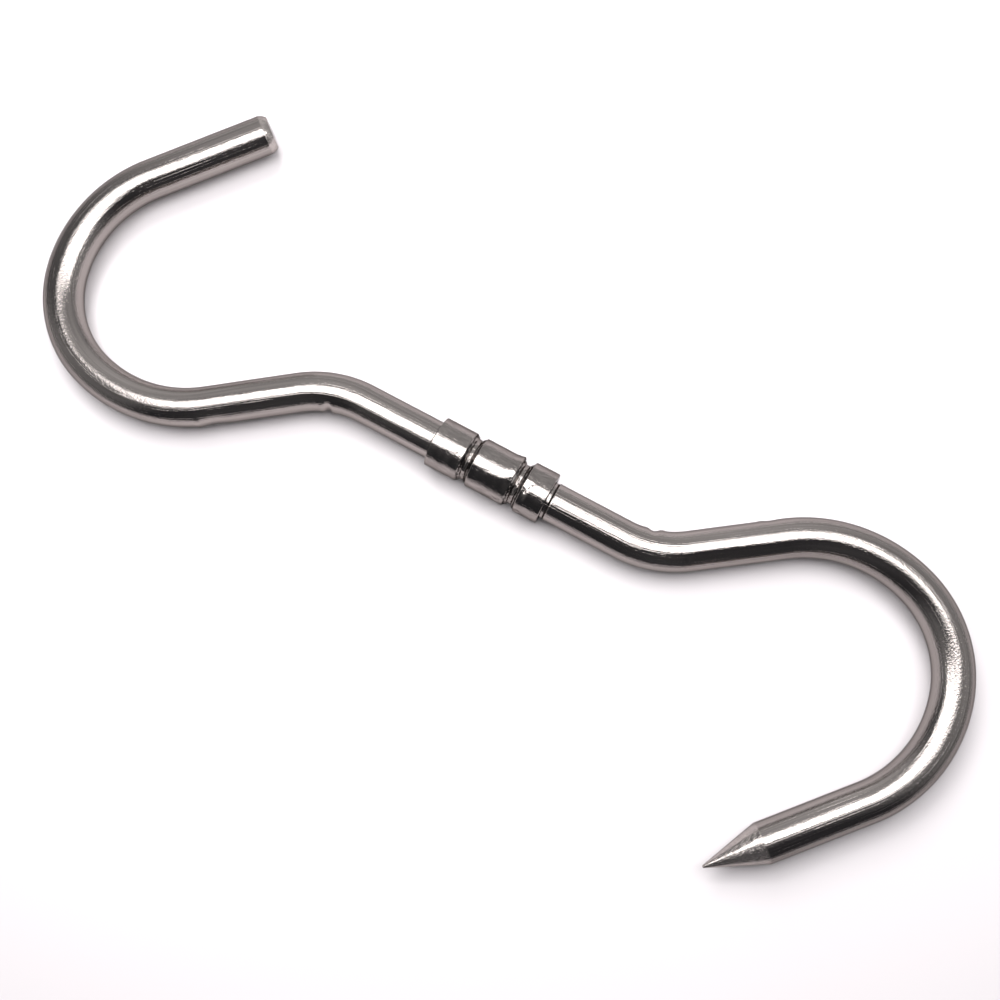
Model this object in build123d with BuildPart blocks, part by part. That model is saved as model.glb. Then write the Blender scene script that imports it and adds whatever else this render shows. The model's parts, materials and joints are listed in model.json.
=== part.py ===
from build123d import *
import os
from math import sqrt

os.makedirs("parts", exist_ok=True)

# Swivel meat hook: two hooks bent from round bar, joined nose to nose by a rolled sleeve.
# It lies flat, with the swivel axis along X and Z square to the plane of the hooks.
# The rail hook, with the blunt end, reaches towards -X and the point hook towards +X.
# It is drawn about the middle of the sleeve, and at the end moved so that the origin is
# at the middle of the bottom of the whole hook's box.

# ---- Driving dimensions, in millimetres and degrees ------------------------------------
ROD_D = 10.0                        # round bar of both hooks

# Both hooks are bent alike, but not to the same tenth: shank is the straight bar between
# the shoulder and the first bend, turn is the first bend, which sets the hook off the swivel
# axis, bowl is the radii of the big bend's three equal turns, and leg is the straight end.
RAIL_BENDS = {"shank": 20.1, "turn": 36.5, "bowl": (34.8, 27.2, 34.4), "leg": 32.9}
POINT_BENDS = {"shank": 19.2, "turn": 35.6, "bowl": (35.3, 29.2, 34.0), "leg": 26.0}
SHANK_BEND_RADIUS = 27.0
MIDDLE_RUN = 23.1                   # straight bar between the two bends
BOWL_TURN = 166.3

BLUNT_CHAMFER_LENGTH = 1.9          # chamfer of the blunt end, along the bar
BLUNT_CHAMFER_DEPTH = 1.0           # and across it
CONE_LENGTH = 15.8                  # ground point, to where its sides would meet
TIP_RADIUS = 0.4                    # its rounded tip

SLEEVE_D = 13.0
SLEEVE_LENGTH = 30.8
SLEEVE_EDGE = 0.3                   # edge break outside and inside each mouth
GROOVES = (                         # rolled V grooves: centre along the sleeve, width, depth
    (-5.65, 2.9, 1.15),
    (7.45, 3.2, 1.3),
)
GROOVE_CREST = 0.3                  # rounding where a groove meets the surface

SPIGOT_D = 9.5                      # turned-down nose of each hook inside the sleeve
SPIGOT_CLEARANCE = 0.08             # running clearance, on the radius
NECK_CENTRE = 9.4                   # from the shoulder to the middle of the neck groove
NECK_WIDTH = 6.0                    # room for the rolled bead and its float
NECK_DEPTH = 1.42
HEAD_LENGTH = 3.3                   # captive head beyond the neck groove
HEAD_CHAMFER = 0.4
SHOULDER_EDGE = 0.2                 # edge break where the bar steps down to the spigot
RAIL_GAP = 0.1                      # shoulder to mouth: the rail hook is pushed home
POINT_GAP = 1.0                     # the point hook is drawn out and shows its spigot

# ---- Worked out from them ---------------------------------------------------------------
ROD_R = ROD_D / 2
SLEEVE_R = SLEEVE_D / 2
SPIGOT_R = SPIGOT_D / 2
BORE_R = SPIGOT_R + SPIGOT_CLEARANCE
SLEEVE_WALL = SLEEVE_R - BORE_R
HALF_SLEEVE = SLEEVE_LENGTH / 2
RAIL_SHOULDER = HALF_SLEEVE + RAIL_GAP
POINT_SHOULDER = HALF_SLEEVE + POINT_GAP
V_ROUNDING = sqrt(2) - 1            # depth that a rounded root saves in a 45 degree V


def hook_line(heading, shoulder, bends):
    """Draw a hook's centre line outward along the swivel axis, and return its leg."""
    outward = Vector(1, 0, 0).rotate(Axis.Z, heading)
    start = outward * (shoulder + SHOULDER_EDGE)
    shank = Line(start, outward * (shoulder + bends["shank"]))
    bend = JernArc(shank @ 1, shank % 1, SHANK_BEND_RADIUS, bends["turn"])
    last = Line(bend @ 1, bend @ 1 + (bend % 1) * MIDDLE_RUN)
    for radius in bends["bowl"]:
        last = JernArc(last @ 1, last % 1, radius, -BOWL_TURN / len(bends["bowl"]))
    return Line(last @ 1, last @ 1 + (last % 1) * bends["leg"])


def nose_section():
    """Half section of a hook's nose: distance from the shoulder into the sleeve, then radius."""
    neck_start = NECK_CENTRE - NECK_WIDTH / 2
    neck_end = NECK_CENTRE + NECK_WIDTH / 2
    head_end = neck_end + HEAD_LENGTH
    return [
        (-SHOULDER_EDGE, 0),
        (-SHOULDER_EDGE, ROD_R),
        (0, ROD_R - SHOULDER_EDGE),
        (0, SPIGOT_R),
        (neck_start, SPIGOT_R),
        (neck_start + NECK_DEPTH, SPIGOT_R - NECK_DEPTH),
        (neck_end - NECK_DEPTH, SPIGOT_R - NECK_DEPTH),
        (neck_end, SPIGOT_R),
        (head_end - HEAD_CHAMFER, SPIGOT_R),
        (head_end, SPIGOT_R - HEAD_CHAMFER),
        (head_end, 0),
    ]


def vee(centre, width, surface_r):
    """Corners of a 45 degree V cut below a surface of the given radius."""
    return [
        (centre - width / 2, surface_r),
        (centre, surface_r - width / 2),
        (centre + width / 2, surface_r),
    ]


def corner_at(sketch, point):
    """The sketch's corner nearest to a point of its plane."""
    return sketch.vertices().sort_by_distance(point)[0]


# ---- Rail hook: blunt end, shank towards -X ---------------------------------------------
with BuildPart() as rail_hook:
    with BuildLine() as rail_line:
        rail_leg = hook_line(180, RAIL_SHOULDER, RAIL_BENDS)
    with BuildSketch(Plane(origin=rail_leg @ 1, z_dir=rail_leg % 1)):
        Circle(ROD_R)
    sweep(path=rail_line.wire())
    blunt_face = rail_hook.faces().filter_by(GeomType.PLANE).sort_by(Axis.Y)[-1]
    chamfer(blunt_face.edges(), BLUNT_CHAMFER_DEPTH, BLUNT_CHAMFER_LENGTH, reference=blunt_face)
    with BuildSketch(Plane(origin=(-RAIL_SHOULDER, 0, 0), x_dir=(1, 0, 0), z_dir=(0, 0, 1))):
        with BuildLine():
            Polyline(*nose_section(), close=True)
        make_face()
    revolve(axis=Axis.X)

# ---- Point hook: ground cone, shank towards +X ------------------------------------------
cone_slant = sqrt(ROD_R**2 + CONE_LENGTH**2)
tip_centre = CONE_LENGTH - TIP_RADIUS * cone_slant / ROD_R
tip_start = (tip_centre + TIP_RADIUS * ROD_R / cone_slant, TIP_RADIUS * CONE_LENGTH / cone_slant)
with BuildPart() as point_hook:
    with BuildLine() as point_line:
        point_leg = hook_line(0, POINT_SHOULDER, POINT_BENDS)
    with BuildSketch(Plane(origin=point_leg @ 1, z_dir=point_leg % 1)):
        Circle(ROD_R)
    sweep(path=point_line.wire())
    with BuildSketch(Plane(origin=point_leg @ 1, x_dir=point_leg % 1, z_dir=(0, 0, 1))):
        with BuildLine():
            cone_edge = Polyline((tip_centre, 0), (0, 0), (0, ROD_R), tip_start)
            tip = (tip_centre + TIP_RADIUS, 0)
            TangentArc(tip_start, tip, tangent=cone_edge % 1)
            Line(tip, (tip_centre, 0))
        make_face()
    revolve(axis=Axis(point_leg @ 1, point_leg % 1))
    with BuildSketch(Plane(origin=(POINT_SHOULDER, 0, 0), x_dir=(-1, 0, 0), z_dir=(0, 0, -1))):
        with BuildLine():
            Polyline(*nose_section(), close=True)
        make_face()
    revolve(axis=Axis.X)

# ---- Swivel sleeve: one tube, rolled into both necks -------------------------------------
# Each bead inside is the groove outside, offset by the wall, so that the wall keeps its
# thickness round the fold.
with BuildPart() as swivel_sleeve:
    with BuildSketch(Plane.XY) as wall_section:
        outside = [(-HALF_SLEEVE, SLEEVE_R)]
        inside = [(-HALF_SLEEVE, BORE_R)]
        for centre, width, depth in GROOVES:
            outside += vee(centre, width, SLEEVE_R)
            inside += vee(centre, width + 2 * V_ROUNDING * SLEEVE_WALL, BORE_R)
        outside.append((HALF_SLEEVE, SLEEVE_R))
        inside.append((HALF_SLEEVE, BORE_R))
        with BuildLine():
            Polyline(*outside, *reversed(inside), close=True)
        make_face()
        for centre, width, depth in GROOVES:
            bead_width = width + 2 * V_ROUNDING * SLEEVE_WALL
            root_radius = (width / 2 - depth) / V_ROUNDING
            fillet(corner_at(wall_section, (centre, SLEEVE_R - width / 2)), root_radius)
            bead_tip = (centre, BORE_R - bead_width / 2)
            fillet(corner_at(wall_section, bead_tip), root_radius + SLEEVE_WALL)
            for side in (-1, 1):
                crest = (centre + side * width / 2, SLEEVE_R)
                fillet(corner_at(wall_section, crest), GROOVE_CREST)
        for end in (-HALF_SLEEVE, HALF_SLEEVE):
            chamfer(corner_at(wall_section, (end, SLEEVE_R)), SLEEVE_EDGE)
            chamfer(corner_at(wall_section, (end, BORE_R)), SLEEVE_EDGE)
    revolve(axis=Axis.X)

# ---- Placing and writing -----------------------------------------------------------------
rail_hook.part.label = "rail_hook"
swivel_sleeve.part.label = "swivel_sleeve"
point_hook.part.label = "point_hook"
pieces = [rail_hook.part, swivel_sleeve.part, point_hook.part]
box = Compound(pieces).bounding_box()
place = Location((-box.center().X, -box.center().Y, -box.min.Z))
for piece in pieces:
    piece.move(place)
    export_step(piece, f"parts/{piece.label}.step")

print("swivel axis passes through", place.position)
print("whole size", box.size)
for name, leg in (("blunt leg", rail_leg), ("point leg", point_leg)):
    print(name, "runs from", place.position + (leg @ 0), "along", leg % 1)
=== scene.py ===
"""Looks of the swivel meat hook: two bent round bars joined by a rolled sleeve, on a pale floor.

The three CAD solids stay as the frame. Each is replaced by a finer mesh with the marks that bending,
rolling and grinding leave. Lengths are in millimetres and angles in degrees, except where a name
or comment says otherwise, and a mesh is scaled to metres as it is written.
"""

import json
from math import atan2, cos, pi, radians, sin, sqrt, tan

import bpy
import numpy as np
from mathutils import Matrix, Vector, noise


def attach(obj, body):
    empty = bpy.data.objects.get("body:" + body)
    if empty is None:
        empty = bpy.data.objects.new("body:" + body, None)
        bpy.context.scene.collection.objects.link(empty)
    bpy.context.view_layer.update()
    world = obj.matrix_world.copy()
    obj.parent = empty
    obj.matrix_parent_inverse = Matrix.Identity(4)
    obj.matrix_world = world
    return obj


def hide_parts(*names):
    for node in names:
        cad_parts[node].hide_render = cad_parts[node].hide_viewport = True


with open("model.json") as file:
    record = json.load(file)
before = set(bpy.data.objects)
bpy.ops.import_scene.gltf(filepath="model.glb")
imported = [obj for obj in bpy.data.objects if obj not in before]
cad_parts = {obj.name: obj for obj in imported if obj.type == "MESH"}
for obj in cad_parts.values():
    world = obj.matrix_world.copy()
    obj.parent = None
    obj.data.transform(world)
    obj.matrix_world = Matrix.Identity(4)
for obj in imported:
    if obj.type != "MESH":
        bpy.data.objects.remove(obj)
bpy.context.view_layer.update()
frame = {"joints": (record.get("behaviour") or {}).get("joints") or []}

MM = 0.001
JOINTS = {joint["name"]: joint for joint in frame["joints"]}
AXIS_PLACE = Vector(JOINTS["sleeve_swivel"]["pos_m"]) / MM      # the middle of the sleeve

# ---------------------------------------------------------------------------------------------
# Driving sizes, the same as the CAD model's

BAR_R = 5.0
SHANK_BEND_RADIUS = 27.0
MIDDLE_RUN = 23.1
BOWL_TURN = 166.3
RAIL_BENDS = {"heading": 180, "shank": 20.1, "turn": 36.5, "bowl": (34.8, 27.2, 34.4), "leg": 32.9}
POINT_BENDS = {"heading": 0, "shank": 19.2, "turn": 35.6, "bowl": (35.3, 29.2, 34.0), "leg": 26.0}

BLUNT_CHAMFER_LENGTH = 1.9
BLUNT_CHAMFER_DEPTH = 1.0
CONE_LENGTH = 15.8
TIP_RADIUS = 0.4

SLEEVE_R = 6.5
SLEEVE_LENGTH = 30.8
SLEEVE_WALL = 1.67
SLEEVE_EDGE = 0.3
GROOVES = ((-5.65, 2.9, 1.15), (7.45, 3.2, 1.3))                # place along the sleeve, width, depth
GROOVE_CREST = 0.3

SPIGOT_R = 4.75
NECK_CENTRE = 9.4
NECK_WIDTH = 6.0
NECK_DEPTH = 1.42
HEAD_LENGTH = 3.3
HEAD_CHAMFER = 0.4
SHOULDER_EDGE = 0.2
RAIL_GAP = 0.1
POINT_GAP = 1.0

# ---------------------------------------------------------------------------------------------
# Sizes that only the looks have

EDGE_BREAK = 0.1                   # the small round on a machined edge
CUT_EDGE = 0.03                    # the sharper one on a sawn mouth
SKIN = 0.045                       # the uneven surface lies this far in, to stay within the CAD size
CAP_R = 0.4                        # flat left at the middle of a bar's end
TIP_ROUND = 0.9                    # the tip's round against the CAD's, a little less to leave a flat
TIP_FLAT = 0.01                    # radius of that flat
CROWN_DEPTH = 0.36                 # how far in the blunt end's chamfer is at its middle, of its depth
CROWN_ROUND = 1.5

MARKS_START = 0.5                  # the bars are uneven from this far past the shoulder

# Unevenness of a surface: height, and the size of its features along and across
DRAW_LINES = (0.012, (70, 0.9))
DRAW_WAVES = (0.02, (14, 5))
SLEEVE_LUMPS = (0.03, (1.6, 1.6))
GROOVE_LUMPS = (0.15, (0.6, 0.7))
GROOVE_RING_HEIGHT = 0.06
GROOVE_RING_PITCH = 0.8
GROOVE_REACH = 0.75                # how far from a groove's middle they reach, of its width
OUTSIDE_FROM = 0.1                 # what lies this far out of the bore counts as the sleeve's outside
SEED_STEP = (7.3, 3.1, 5.7)        # how far apart in the noise two seeds lie

# Painted shade along the grooves' walls, darker lines painted into the colour in place of the dark
# reflections there: place from the middle, of the groove's width, half width, and how ragged it is
PAINTED_SHADE_PLACE = 0.38
PAINTED_SHADE_WIDTH = 0.33
PAINTED_SHADE_EDGE = (0.3, (0.6, 0.7))

# How much bending roughened a bar outside its bowl, where 1 is the bowl, and the length it changes over
STRETCH_LEAST = 0.45
STRETCH_LENGTH = 14

# Marks left by the bending dies: distance from the sleeve's middle, side of the bar (0 is the inside
# of the first bend, 90 the top), half length, half width in degrees, and depth. A negative depth
# stands proud.
RAIL_MARKS = (
    (44.6, 2, 1.6, 60, 0.5),
    (46.6, 10, 1.0, 50, -0.16),
    (42.6, 0, 1.2, 45, -0.08),
    (74.2, 0, 4.2, 60, 0.28),
    (78.0, 8, 1.0, 60, -0.18),
)
POINT_MARKS = (
    (42.7, 0, 1.9, 58, 0.42),
    (45.3, 6, 1.3, 50, -0.18),
    (40.2, 0, 1.4, 45, -0.08),
    (51.2, 118, 0.5, 7, 0.16),
    (70.3, 0, 1.2, 55, -0.1),
    (72.6, 0, 2.4, 55, 0.1),
)

# Tool marks on the sleeve, in the same way: side 0 is towards +Y
SLEEVE_MARKS = (
    (9.4, 104, 1.6, 46, 0.16),
    (10.3, 92, 0.5, 6, 0.12),
    (10.9, 84, 0.6, 5, 0.08),
    (9.9, 104, 0.5, 8, 0.1),
    (9.4, 168, 0.4, 5, 0.15),
    (10.2, 165, 0.7, 9, 0.18),
    (11.4, 172, 0.8, 7, 0.13),
    (5.0, 158, 0.5, 5, 0.16),
    (4.2, 163, 0.9, 8, 0.18),
    (3.4, 160, 0.4, 4, 0.12),
    (2.6, 170, 0.7, 6, 0.12),
    (-8.6, 100, 0.4, 4, 0.06),
)

# Rolling the right groove moved the metal beside it. Height, middle side and half width in degrees;
# a negative height is drawn down. The lip and the hollow grow over a length before the groove.
SWELLING = (0.45, 0, 75)
LIP = (0.38, 5, 50)
HOLLOW = (-0.4, 104, 62)
BEFORE_GROOVE = 2.4
PAST_EDGE = 0.4                    # the lip and the hollow run this far over the groove's edge
SWELLING_START = 2.4               # from the groove's edge, which is inside the groove
SWELLING_RISE = 0.9

# Mesh fineness. A round is stepped finer than a straight run, and never in fewer parts than the least.
ROUND_FINENESS = 3
LEAST_PARTS = 3
SEGMENTS = 144
BAR_STEP = 0.45
SLEEVE_SEGMENTS = 208
SLEEVE_STEP = 0.15
BORE_STEP = 0.5

# ---------------------------------------------------------------------------------------------
# Outlines and centre lines


def outline(corners, step):
    """Points (x, r) along straight runs between corners (x, r, round), each corner rounded."""
    points = []
    for i, (x, r, radius) in enumerate(corners):
        corner = Vector((x, r))
        if radius == 0 or i in (0, len(corners) - 1):
            points.append(corner)
            continue
        back = (Vector(corners[i - 1][:2]) - corner).normalized()
        ahead = (Vector(corners[i + 1][:2]) - corner).normalized()
        half = back.angle(ahead) / 2
        centre = corner + (back + ahead).normalized() * radius / sin(half)
        start = corner + back * radius / tan(half) - centre
        end = corner + ahead * radius / tan(half) - centre
        sweep = start.angle_signed(end)
        count = max(LEAST_PARTS, round(abs(sweep) * radius / (step / ROUND_FINENESS)))
        for k in range(count + 1):
            turned = Matrix.Rotation(-sweep * k / count, 2) @ start
            points.append(centre + turned)
    filled = [points[0]]
    for point in points[1:]:
        parts = max(1, round((point - filled[-1]).length / step))
        before = filled[-1]
        filled += [before.lerp(point, k / parts) for k in range(1, parts + 1)]
    return [(p.x, p.y) for p in filled]


def groove(middle, width, depth, surface, crest, outward=1):
    """Corners of a rolled groove with 45 degree walls, or with outward=-1 of the bead in the bore."""
    root = (width / 2 - depth) / (sqrt(2) - 1)
    return [
        (middle - width / 2, surface, crest),
        (middle, surface - width / 2, root),
        (middle + width / 2, surface, crest),
    ][::outward]


def hook_runs(bends, gap, cone):
    """A hook's centre line from the sleeve's middle: runs of (length, turn in radians). The cone's
    length is added to the leg's."""
    third = radians(BOWL_TURN) / len(bends["bowl"])
    turn = radians(bends["turn"])
    runs = [(SLEEVE_LENGTH / 2 + gap + bends["shank"], 0)]
    runs += [(SHANK_BEND_RADIUS * turn, turn), (MIDDLE_RUN, 0)]
    runs += [(radius * third, -third) for radius in bends["bowl"]]
    return runs + [(bends["leg"] + cone, 0)]


def place_on(runs, heading, distance):
    """The point and heading (radians) after a distance along the runs. Below 0 is on the first run."""
    point = Vector((0, 0))
    for index, (length, turn) in enumerate(runs):
        last = index == len(runs) - 1
        step = distance if last else min(distance, length)
        angle = turn * step / length
        chord = step * (sin(angle / 2) / (angle / 2) if angle else 1)
        point += Vector((cos(heading + angle / 2), sin(heading + angle / 2))) * chord
        heading += angle
        distance -= step
        if distance <= 0:
            break
    return point, heading


# ---------------------------------------------------------------------------------------------
# Swept meshes


def smooth_bump(x):
    """1 at x = 0, falling smoothly to 0 at x = -1 and 1."""
    x = np.clip(np.abs(x), 0, 1)
    return (1 - x * x) ** 2


def ripple(s, a, r, unevenness, seed):
    """Smooth noise over the straightened bar, for an unevenness (height, size along and across)."""
    height, (along, across) = unevenness
    offset = Vector([seed * step for step in SEED_STEP])
    x, y, z = s / along, r * np.cos(a) / across, r * np.sin(a) / across
    spots = zip(x.flat, y.flat, z.flat)
    return height * np.array([noise.noise(Vector(spot) + offset) for spot in spots]).reshape(s.shape)


def from_side(a, side):
    """Signed angle in radians from a side, given in degrees, to the angle a."""
    return (a - radians(side) + pi) % (2 * pi) - pi


def dents(s, a, marks):
    """Depth of a list of marks (distance, side, half length, half width, depth)."""
    depth = np.zeros(s.shape)
    for distance, side, length, width, deep in marks:
        across = smooth_bump(from_side(a, side) / radians(width))
        depth += deep * smooth_bump((s - distance) / length) * across
    return depth


def sweep_mesh(name, points, place, segments, relief, peel_and_shade_weight, closed=False):
    """A mesh of rings round a line. points are (distance, radius), place gives a distance's point and
    heading, and relief gives how far each vertex lies outside its ring, from distances and angles.
    The materials read two attributes: straight, each vertex's place on the straightened bar, and
    a weight from 0 to 1, which the last argument gives: the strength of a hook's orange peel, and on
    the sleeve the painted shade along the grooves' walls."""
    along = np.array([p[0] for p in points])
    radius = np.array([p[1] for p in points])
    angles = np.arange(segments) * 2 * pi / segments
    s, a = np.meshgrid(along, angles, indexing="ij")
    r = radius[:, None] + relief(s, a, radius[:, None])
    centres = [place(distance) for distance in along]
    x = np.array([c[0].x for c in centres])[:, None]
    y = np.array([c[0].y for c in centres])[:, None]
    heading = np.array([c[1] for c in centres])[:, None]
    side = r * np.cos(a)
    verts = np.stack([x - side * np.sin(heading), y + side * np.cos(heading), r * np.sin(a)], -1)
    verts = (verts + np.array(AXIS_PLACE)).reshape(-1, 3) * MM
    straight = np.stack([s, r * np.cos(a), r * np.sin(a)], -1).reshape(-1, 3)

    rings = len(along)
    faces = []
    for i in range(rings if closed else rings - 1):
        for j in range(segments):
            k = (j + 1) % segments
            low, high = i * segments, (i + 1) % rings * segments
            faces.append((low + j, low + k, high + k, high + j))
    if not closed:
        faces.append(tuple(range(segments))[::-1])
        faces.append(tuple((rings - 1) * segments + j for j in range(segments)))

    mesh = bpy.data.meshes.new(name)
    mesh.from_pydata(verts.tolist(), [], faces)
    mesh.polygons.foreach_set("use_smooth", [len(face) == 4 for face in faces])
    attribute = mesh.attributes.new("straight", "FLOAT_VECTOR", "POINT")
    attribute.data.foreach_set("vector", straight.ravel())
    attribute = mesh.attributes.new("peel_and_painted_shade", "FLOAT", "POINT")
    attribute.data.foreach_set("value", peel_and_shade_weight(s, a, radius[:, None]).ravel())
    mesh.validate()
    mesh.update()
    piece = bpy.data.objects.new(name, mesh)
    bpy.context.scene.collection.objects.link(piece)
    return piece


# ---------------------------------------------------------------------------------------------
# The hooks


def nose_corners(shoulder):
    """The machined nose inside the sleeve: head, neck groove, spigot and shoulder, towards the bar."""
    head_end = shoulder - NECK_CENTRE - NECK_WIDTH / 2 - HEAD_LENGTH
    return [
        (head_end, CAP_R, 0),
        (head_end, SPIGOT_R - HEAD_CHAMFER, 0),
        (head_end + HEAD_CHAMFER, SPIGOT_R, 0),
        *groove(shoulder - NECK_CENTRE, NECK_WIDTH, NECK_DEPTH, SPIGOT_R, EDGE_BREAK),
        (shoulder, SPIGOT_R, 0),
        (shoulder, BAR_R - SHOULDER_EDGE, 0),
        (shoulder + SHOULDER_EDGE, BAR_R, 0),
    ]


def blunt_corners(end):
    """The chamfer of the blunt end, which is a little crowned, and the end face."""
    return [
        (end - BLUNT_CHAMFER_LENGTH, BAR_R, EDGE_BREAK),
        (end - BLUNT_CHAMFER_LENGTH / 2, BAR_R - BLUNT_CHAMFER_DEPTH * CROWN_DEPTH, CROWN_ROUND),
        (end, BAR_R - BLUNT_CHAMFER_DEPTH, EDGE_BREAK),
        (end, CAP_R, 0),
    ]


def cone_corners(base):
    """The ground cone and its rounded tip."""
    slope = atan2(BAR_R, CONE_LENGTH)
    tip = base + CONE_LENGTH - TIP_RADIUS / sin(slope) + TIP_RADIUS
    return [
        (base, BAR_R, EDGE_BREAK),
        (tip, (base + CONE_LENGTH - tip) * tan(slope), TIP_RADIUS * TIP_ROUND),
        (tip, TIP_FLAT, 0),
    ]


def hook(name, body, bends, gap, marks, seed):
    """One bent bar, from the head inside the sleeve to its blunt or pointed end."""
    shoulder = SLEEVE_LENGTH / 2 + gap
    pointed = name.startswith("point")
    runs = hook_runs(bends, gap, CONE_LENGTH if pointed else 0)
    total = sum(length for length, _ in runs)
    end = cone_corners(total - CONE_LENGTH) if pointed else blunt_corners(total)
    points = outline(nose_corners(shoulder) + end, BAR_STEP)

    def relief(s, a, r):
        """Draw lines and waves all along, and the die marks, fading out towards the tip."""
        drawn = ripple(s, a, r, DRAW_LINES, seed) + ripple(s, a, r, DRAW_WAVES, seed + 1) - SKIN
        return (drawn - dents(s, a, marks)) * (s > shoulder + MARKS_START) * np.clip(r / BAR_R, 0, 1)

    def place(distance):
        return place_on(runs, radians(bends["heading"]), distance)

    def stretched(s, a, r):
        """How much bending roughened the bar: 1 in the bowl, and little outside it."""
        bowl_start = sum(length for length, _ in runs[:3])
        bowl_end = total - runs[-1][0]
        entering = np.clip((s - bowl_start) / STRETCH_LENGTH, 0, 1)
        leaving = np.clip((bowl_end - s) / STRETCH_LENGTH, 0, 1)
        return STRETCH_LEAST + (1 - STRETCH_LEAST) * entering * leaving

    piece = sweep_mesh(name, points, place, SEGMENTS, relief, stretched)
    ground_from = total - (CONE_LENGTH if pointed else BLUNT_CHAMFER_LENGTH)
    ground = [int(distance > ground_from - EDGE_BREAK) for distance, _ in points[:-1]]
    caps = [0, 1]                      # the nose's and the end's
    piece.data.polygons.foreach_set("material_index", np.repeat(ground, SEGMENTS).tolist() + caps)
    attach(piece, body)
    return piece


# ---------------------------------------------------------------------------------------------
# The sleeve


def sleeve():
    """The tube with its two rolled grooves, outside from left to right and back through the bore."""
    half = SLEEVE_LENGTH / 2
    bore = SLEEVE_R - SLEEVE_WALL
    left_mouth = (-half, bore + SLEEVE_EDGE, 0)
    right_mouth = (half, bore + SLEEVE_EDGE, 0)
    outside = [left_mouth, (-half, SLEEVE_R, CUT_EDGE)]
    inside = [(-half + SLEEVE_EDGE, bore, 0), left_mouth]
    for middle, width, depth in GROOVES:
        bead = width + 2 * (sqrt(2) - 1) * SLEEVE_WALL
        outside += groove(middle, width, depth, SLEEVE_R, GROOVE_CREST)
        inside = groove(middle, bead, depth, bore, 0, outward=-1) + inside
    outside += [(half, SLEEVE_R, SLEEVE_EDGE), right_mouth]
    inside = [right_mouth, (half - SLEEVE_EDGE, bore, 0)] + inside
    points = outline(outside, SLEEVE_STEP)[:-1] + outline(inside, BORE_STEP)[:-1]

    def moved(a, metal):
        """Height of moved metal (height, side, half width) round the sleeve."""
        height, side, width = metal
        return height * smooth_bump(from_side(a, side) / radians(width))

    def relief(s, a, r):
        """The swelling beside the right groove, the lip and hollow before it, and all smaller marks."""
        skin = np.clip((r - bore - SLEEVE_EDGE) / (SLEEVE_WALL - SLEEVE_EDGE), 0, 1)
        groove_edge = GROOVES[1][0] - GROOVES[1][1] / 2
        before = np.clip((s - groove_edge) / BEFORE_GROOVE + 1, 0, 1) * (s < groove_edge + PAST_EDGE)
        swelled = np.clip((s - groove_edge - SWELLING_START) / SWELLING_RISE, 0, 1) * moved(a, SWELLING)
        rolled = before ** 2 * (moved(a, LIP) + moved(a, HOLLOW))
        lumps = ripple(s, a, r, SLEEVE_LUMPS, seed=5) - SKIN - dents(s, a, SLEEVE_MARKS)
        rings = np.zeros(s.shape)
        for middle, width, _ in GROOVES:
            within = smooth_bump((s - middle) / (GROOVE_REACH * width)) * (r > bore + OUTSIDE_FROM)
            ring = GROOVE_RING_HEIGHT * np.cos((s - middle) * 2 * pi / GROOVE_RING_PITCH)
            rings += within * (ring + ripple(s, a, r, GROOVE_LUMPS, seed=9))
        return (swelled + rolled + lumps) * skin + rings

    def place(distance):
        return Vector((distance, 0)), 0.0

    def painted_groove_shade(s, a, r):
        """Where shade is painted: a ragged darker line along each wall of the grooves."""
        lines = np.zeros(s.shape)
        for middle, width, _ in GROOVES:
            ragged = ripple(s, a, r, PAINTED_SHADE_EDGE, seed=3)
            from_line = np.abs(s - middle) - width * PAINTED_SHADE_PLACE + ragged
            lines += smooth_bump(from_line / PAINTED_SHADE_WIDTH) * (r > bore + OUTSIDE_FROM)
        return lines

    piece = sweep_mesh("sleeve_tube", points, place, SLEEVE_SEGMENTS, relief, painted_groove_shade, closed=True)
    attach(piece, "sleeve")
    return piece


# ---------------------------------------------------------------------------------------------
# Materials

STEEL_TINT = (1.0, 0.91, 0.87)
NOISE_ROUGHNESS = 0.6
PEEL_GRAIN = (0.5, 0.4)

# Stops on the noise, which lies mostly between 0.3 and 0.7
STREAK_SHADES = ((0.32, 0.82), (0.68, 1.12))              # place, and brightness against the shade
STREAK_POLISH = (0.4, 0.6)                                # places of the most and the least roughness
SCORE_LINES = ((0.46, 1.0), (0.5, 0.0), (0.54, 1.0))      # place, and height: thin scored lines


def mesh_attribute(tree, name):
    """A node that reads one of the mesh's own attributes."""
    node = tree.nodes.new("ShaderNodeAttribute")
    node.attribute_name = name
    return node


def texture(tree, grain, detail=3.0):
    """Noise on the straightened bar. grain is the size of its features along the bar and across it."""
    nodes, links = tree.nodes, tree.links
    straight = mesh_attribute(tree, "straight")
    stretch = nodes.new("ShaderNodeMapping")
    stretch.inputs["Scale"].default_value = (1 / grain[0], 1 / grain[1], 1 / grain[1])
    field = nodes.new("ShaderNodeTexNoise")
    field.inputs["Scale"].default_value = 1
    field.inputs["Detail"].default_value = detail
    field.inputs["Roughness"].default_value = NOISE_ROUGHNESS
    links.new(straight.outputs["Vector"], stretch.inputs["Vector"])
    links.new(stretch.outputs["Vector"], field.inputs["Vector"])
    return field.outputs["Fac"]


def graded(tree, value, stops, interpolation="LINEAR"):
    """A colour or grey that follows value through stops of (position, colour)."""
    node = tree.nodes.new("ShaderNodeValToRGB")
    node.color_ramp.interpolation = interpolation
    elements = node.color_ramp.elements
    for index, (position, colour) in enumerate(stops):
        element = elements[index] if index < 2 else elements.new(1)
        element.position = position
        element.color = (*colour, 1) if isinstance(colour, tuple) else (colour, colour, colour, 1)
    tree.links.new(value, node.inputs["Fac"])
    return node.outputs["Color"]


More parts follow.
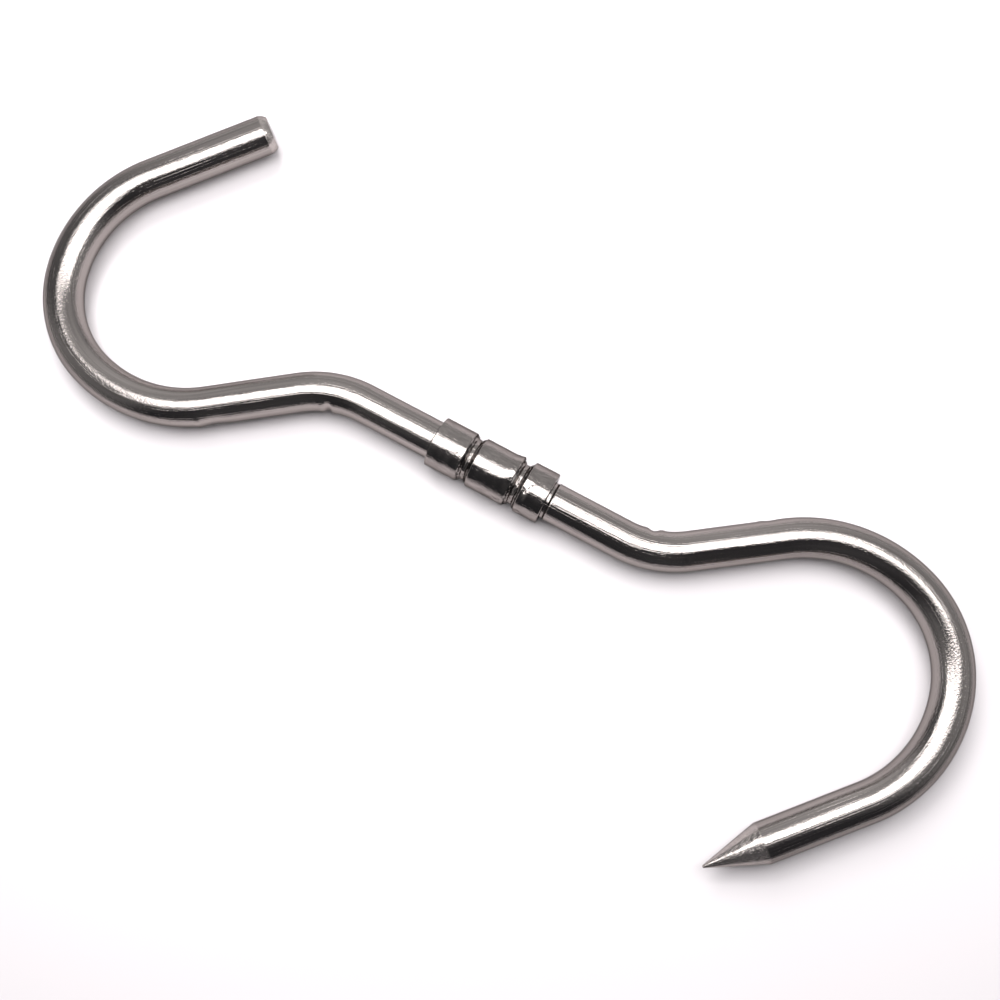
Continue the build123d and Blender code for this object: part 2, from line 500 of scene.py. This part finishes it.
def bump(tree, height, depth, below=None):
    """A bump of that depth in millimetres, on top of the bump below it."""
    node = tree.nodes.new("ShaderNodeBump")
    node.inputs["Strength"].default_value = 1
    node.inputs["Distance"].default_value = depth * MM
    tree.links.new(height, node.inputs["Height"])
    if below:
        tree.links.new(below, node.inputs["Normal"])
    return node.outputs["Normal"]


def steel(name, shade, edge, polish, waves, scores, peel=0, painted_darkening=0, metallic=1):
    """Worked stainless steel. shade is its brightness, and edge what is left of it at a glancing angle.
    polish is its least and most roughness, waves are layers of (grain, depth), and scores the grain and
    depth of its fine scored lines. Where the mesh's weight is high, peel is the depth of its orange
    peel, and the next argument how much darker the colour is painted there, a painted shade. metallic
    below 1 is the haze of ground steel."""
    material = bpy.data.materials.new(name)
    material.use_nodes = True
    tree = material.node_tree
    shader = tree.nodes["Principled BSDF"]
    shader.inputs["Metallic"].default_value = metallic
    shader.inputs["Specular Tint"].default_value = (edge, edge, edge, 1)

    score_grain, score_depth = scores
    streaks = texture(tree, (score_grain[0] / 2, score_grain[1]), detail=4)
    shades = []
    for place, scale in STREAK_SHADES:
        shades.append((place, tuple(shade * part * scale for part in STEEL_TINT)))
    colour = graded(tree, streaks, shades)
    # Painted shade: the colour is darkened where the mesh's weight is high, along the sleeve's groove
    # walls.
    if painted_darkening:
        peel_and_painted_shade = mesh_attribute(tree, "peel_and_painted_shade")
        dimming = graded(tree, peel_and_painted_shade.outputs["Fac"], [(0, 1.0), (1, 1 - painted_darkening)])
        dimmed = tree.nodes.new("ShaderNodeVectorMath")
        dimmed.operation = "MULTIPLY"
        tree.links.new(colour, dimmed.inputs[0])
        tree.links.new(dimming, dimmed.inputs[1])
        colour = dimmed.outputs["Vector"]
    tree.links.new(colour, shader.inputs["Base Color"])
    least, most = polish
    roughness = graded(tree, streaks, list(zip(STREAK_POLISH, (most, least))))
    tree.links.new(roughness, shader.inputs["Roughness"])

    lines = graded(tree, texture(tree, score_grain, detail=2), SCORE_LINES)
    normal = bump(tree, lines, score_depth)
    for grain, depth in waves:
        normal = bump(tree, texture(tree, grain), depth, normal)
    if peel:
        peel_and_painted_shade = mesh_attribute(tree, "peel_and_painted_shade")
        height = tree.nodes.new("ShaderNodeMath")
        height.operation = "MULTIPLY"
        tree.links.new(texture(tree, PEEL_GRAIN, detail=2), height.inputs[0])
        tree.links.new(peel_and_painted_shade.outputs["Fac"], height.inputs[1])
        normal = bump(tree, height.outputs["Value"], peel, normal)
    tree.links.new(normal, shader.inputs["Normal"])
    return material


# ---------------------------------------------------------------------------------------------
# Floor, light and camera

IMAGE_RIGHT = 28.36                # direction of the picture's right-hand side, from +X towards +Y
CAMERA_PLACE = AXIS_PLACE + Vector((30.43, -34.47, 266.44))
CAMERA_AIM = AXIS_PLACE + Vector((4.56, -4.77, -6.5))
LENS = 39.8
SENSOR_WIDTH = 36
CLIP_START = 0.01                  # metres

# Lights: the middle's place, right and up in the picture and above the floor, the size, and watts
SOFT_BOX = ((5, 40, 295), (420, 170), 1.45)
BACK_LIGHT = ((-110, 405, 540), (320, 320), 3.0)
FLOOR_HALF = 3.0                   # metres
FLOOR_COLOUR = (0.68, 0.645, 0.66)
FLOOR_ROUGHNESS = 0.6
FLOOR_SHINE = 0.1

# Brightness of the walls round the scene, by direction from the picture's right-hand side to its top
WALLS = (
    (-180, 0.42),
    (-150, 0.26),
    (-125, 0.05),
    (-90, 0.1),
    (-50, 0.05),
    (-25, 0.38),
    (0, 0.52),
    (40, 0.54),
    (90, 0.8),
    (115, 0.7),
    (140, 0.24),
    (155, 0.16),
    (180, 0.42),
)
WALL_TINT = (0, 0.001, 0.006)      # added to that brightness in red, green and blue


def level_direction(degrees_from_x):
    """A unit vector along the floor, turned from +X towards +Y."""
    return Vector((cos(radians(degrees_from_x)), sin(radians(degrees_from_x)), 0))


def floor():
    """A plain pale floor, which the sleeve just touches."""
    h = FLOOR_HALF
    mesh = bpy.data.meshes.new("floor")
    mesh.from_pydata([(-h, -h, 0), (h, -h, 0), (h, h, 0), (-h, h, 0)], [], [(0, 1, 2, 3)])
    plane = bpy.data.objects.new("floor", mesh)
    bpy.context.scene.collection.objects.link(plane)
    material = bpy.data.materials.new("pale_floor")
    material.use_nodes = True
    shader = material.node_tree.nodes["Principled BSDF"]
    shader.inputs["Base Color"].default_value = (*FLOOR_COLOUR, 1)
    shader.inputs["Roughness"].default_value = FLOOR_ROUGHNESS
    shader.inputs["Specular IOR Level"].default_value = FLOOR_SHINE
    mesh.materials.append(material)


def area_light(name, place, size, power):
    """A light that faces down and that the camera doesn't see."""
    light = bpy.data.lights.new(name, "AREA")
    light.shape = "RECTANGLE"
    light.size, light.size_y = (side * MM for side in size)
    light.energy = power
    lamp = bpy.data.objects.new(name, light)
    right, up, height = place
    level = level_direction(IMAGE_RIGHT) * right + level_direction(IMAGE_RIGHT + 90) * up
    lamp.location = (level + Vector((0, 0, height))) * MM
    lamp.rotation_euler = (0, 0, radians(IMAGE_RIGHT))
    lamp.visible_camera = False
    bpy.context.scene.collection.objects.link(lamp)
    return lamp


def lights():
    """The soft box that the steel shows, and a light behind it, hidden from the steel, that makes the
    shadows on the floor wider."""
    area_light("soft_box", *SOFT_BOX)
    back_light = area_light("back_light", *BACK_LIGHT)
    back_light.rotation_euler = (-back_light.location).to_track_quat("-Z", "Y").to_euler()
    back_light.visible_glossy = False


def surroundings():
    """Dim walls that the steel reflects: a dark open front, grey sides and a lighter back."""
    world = bpy.data.worlds.new("studio")
    bpy.context.scene.world = world
    world.use_nodes = True
    tree = world.node_tree
    direction = tree.nodes.new("ShaderNodeTexCoord")
    turn = tree.nodes.new("ShaderNodeMapping")
    turn.inputs["Rotation"].default_value = (0, 0, radians(-IMAGE_RIGHT))
    azimuth = tree.nodes.new("ShaderNodeTexGradient")
    azimuth.gradient_type = "RADIAL"
    tree.links.new(direction.outputs["Generated"], turn.inputs["Vector"])
    tree.links.new(turn.outputs["Vector"], azimuth.inputs["Vector"])
    stops = [(degrees / 360 + 0.5, tuple(grey + part for part in WALL_TINT)) for degrees, grey in WALLS]
    walls = graded(tree, azimuth.outputs["Fac"], stops, "EASE")
    tree.links.new(walls, tree.nodes["Background"].inputs["Color"])


def camera():
    """A camera nearly above the hook, turned so that the sleeve slopes down to the right."""
    data = bpy.data.cameras.new("camera")
    data.lens = LENS
    data.sensor_width = SENSOR_WIDTH
    data.clip_start = CLIP_START
    ahead = (CAMERA_AIM - CAMERA_PLACE).normalized()
    right = ahead.cross(level_direction(IMAGE_RIGHT + 90)).normalized()
    up = right.cross(ahead)
    turned = Matrix((right, up, -ahead)).transposed().to_4x4()
    seen = bpy.data.objects.new("camera", data)
    seen.matrix_world = Matrix.Translation(CAMERA_PLACE * MM) @ turned
    bpy.context.scene.collection.objects.link(seen)
    bpy.context.scene.camera = seen


floor()
lights()
surroundings()
camera()
bpy.context.scene.view_settings.view_transform = "Standard"

drawn_steel = steel(
    "drawn_steel",
    shade=0.31,
    edge=0.34,
    polish=(0.05, 0.18),
    waves=(((1.3, 0.45), 0.026), ((0.35, 0.3), 0.013)),
    scores=((90, 0.9), 0.012),
    peel=0.05,
)
turned_steel = steel(
    "turned_steel",
    shade=0.28,
    edge=0.28,
    polish=(0.05, 0.16),
    waves=(((1.0, 0.5), 0.024), ((0.4, 0.25), 0.018)),
    scores=((5, 0.9), 0.007),
    # the sleeve's colour is painted this much darker along the grooves' walls, as painted shade
    painted_darkening=0.85,
)
ground_steel = steel(
    "ground_steel",
    shade=0.42,
    edge=0.34,
    polish=(0.06, 0.16),
    waves=(((0.25, 3), 0.01), ((1.2, 0.5), 0.024)),
    scores=((1.5, 0.5), 0.012),
    metallic=0.94,
)
rail = hook("rail_bar", "rail_hook", RAIL_BENDS, RAIL_GAP, RAIL_MARKS, seed=1)
point = hook("point_bar", "point_hook", POINT_BENDS, POINT_GAP, POINT_MARKS, seed=2)
tube = sleeve()
for piece, node, slot, materials in (
    (rail, "rail_hook", "hook_steel", (drawn_steel, ground_steel)),
    (point, "point_hook", "hook_steel", (drawn_steel, ground_steel)),
    (tube, "swivel_sleeve", "sleeve_steel", (turned_steel,)),
):
    for material in materials:
        piece.data.materials.append(material)
    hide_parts(node)
